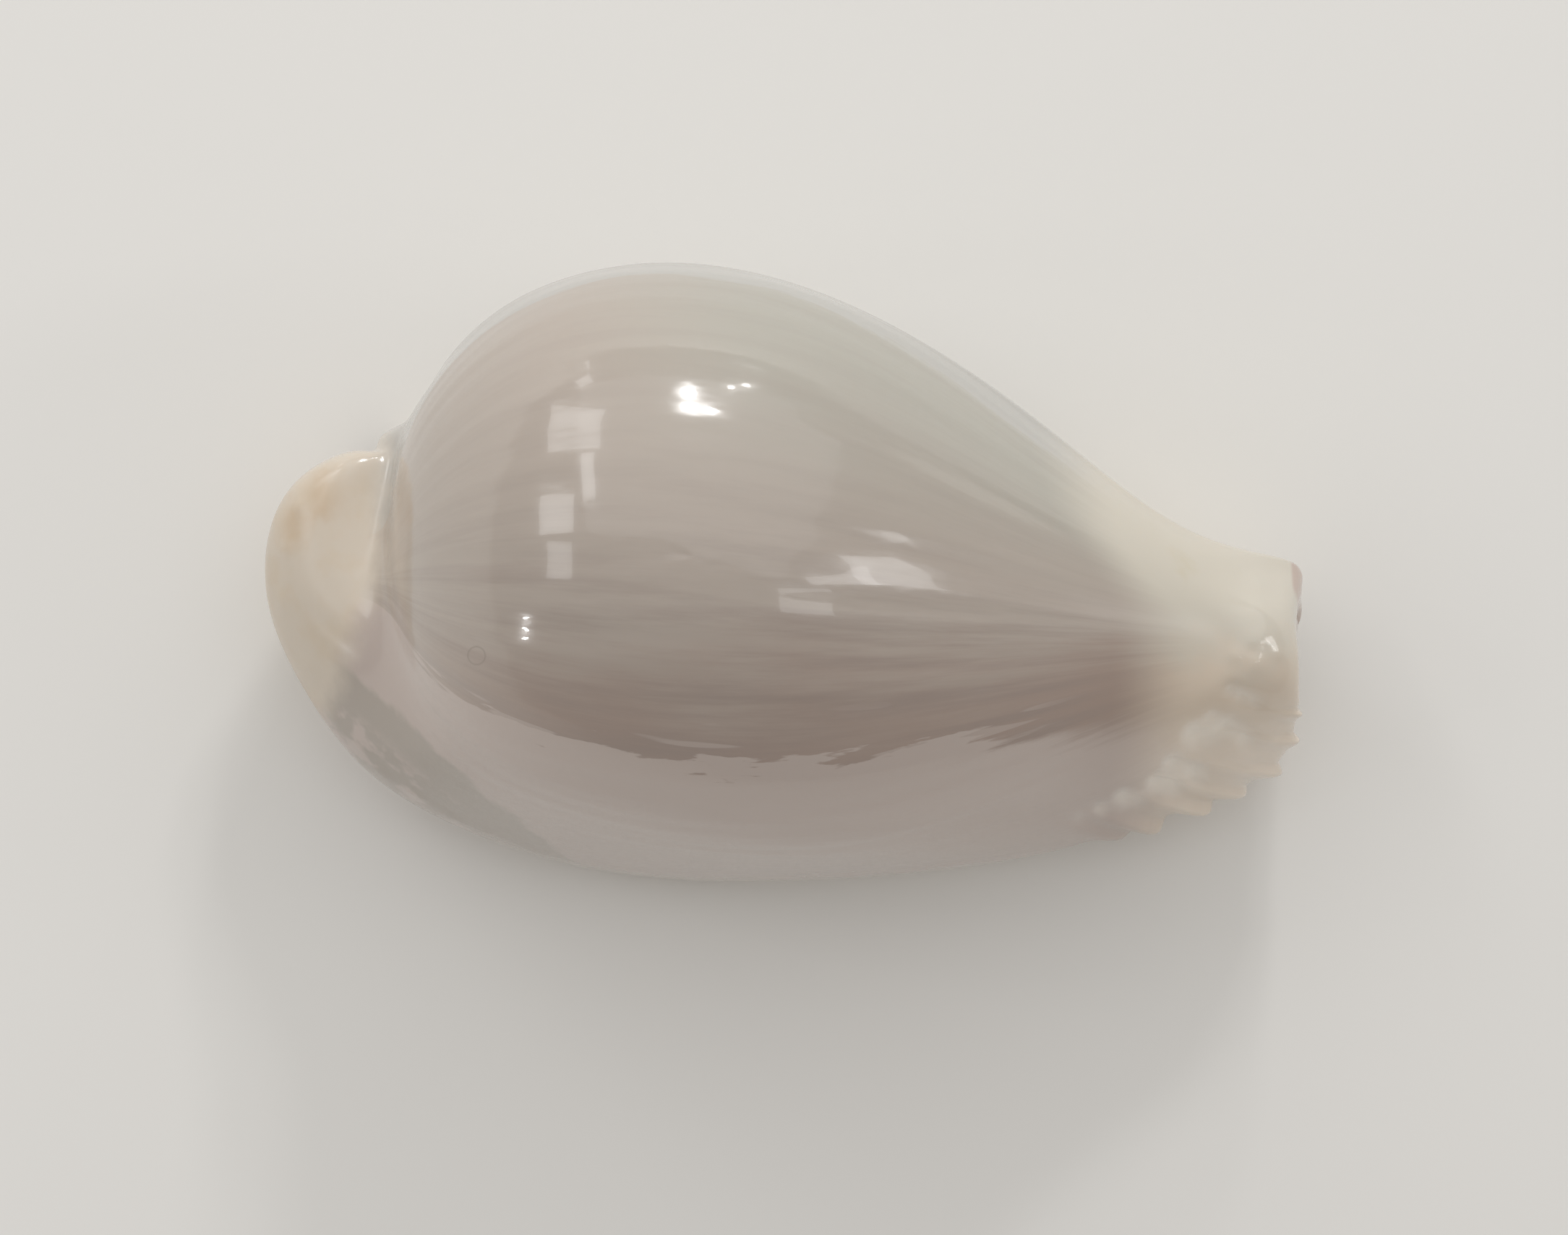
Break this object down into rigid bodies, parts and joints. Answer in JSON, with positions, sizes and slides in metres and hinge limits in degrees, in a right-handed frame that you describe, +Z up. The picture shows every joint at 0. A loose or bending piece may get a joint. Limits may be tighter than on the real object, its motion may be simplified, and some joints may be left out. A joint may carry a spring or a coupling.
{
  "type": "cowrie shell",
  "caption": "Large pear-shaped white cowrie shell with a glossy back, a drawn-out siphon beak, a broad rear flange and a narrow toothed slit in its base.",
  "frame": {"origin": "on the flat of the base where the shell rests, about below its middle", "axes": "+Z up through the shell's back, +X along the shell towards its siphon end, +Y towards the columella side"},
  "size_m": [0.0951, 0.0564, 0.048],
  "materials": {
    "shell_enamel": "gloss"
  },
  "bodies": {
    "root": {"shell": "shell_enamel"}
  },
  "joints": []
}
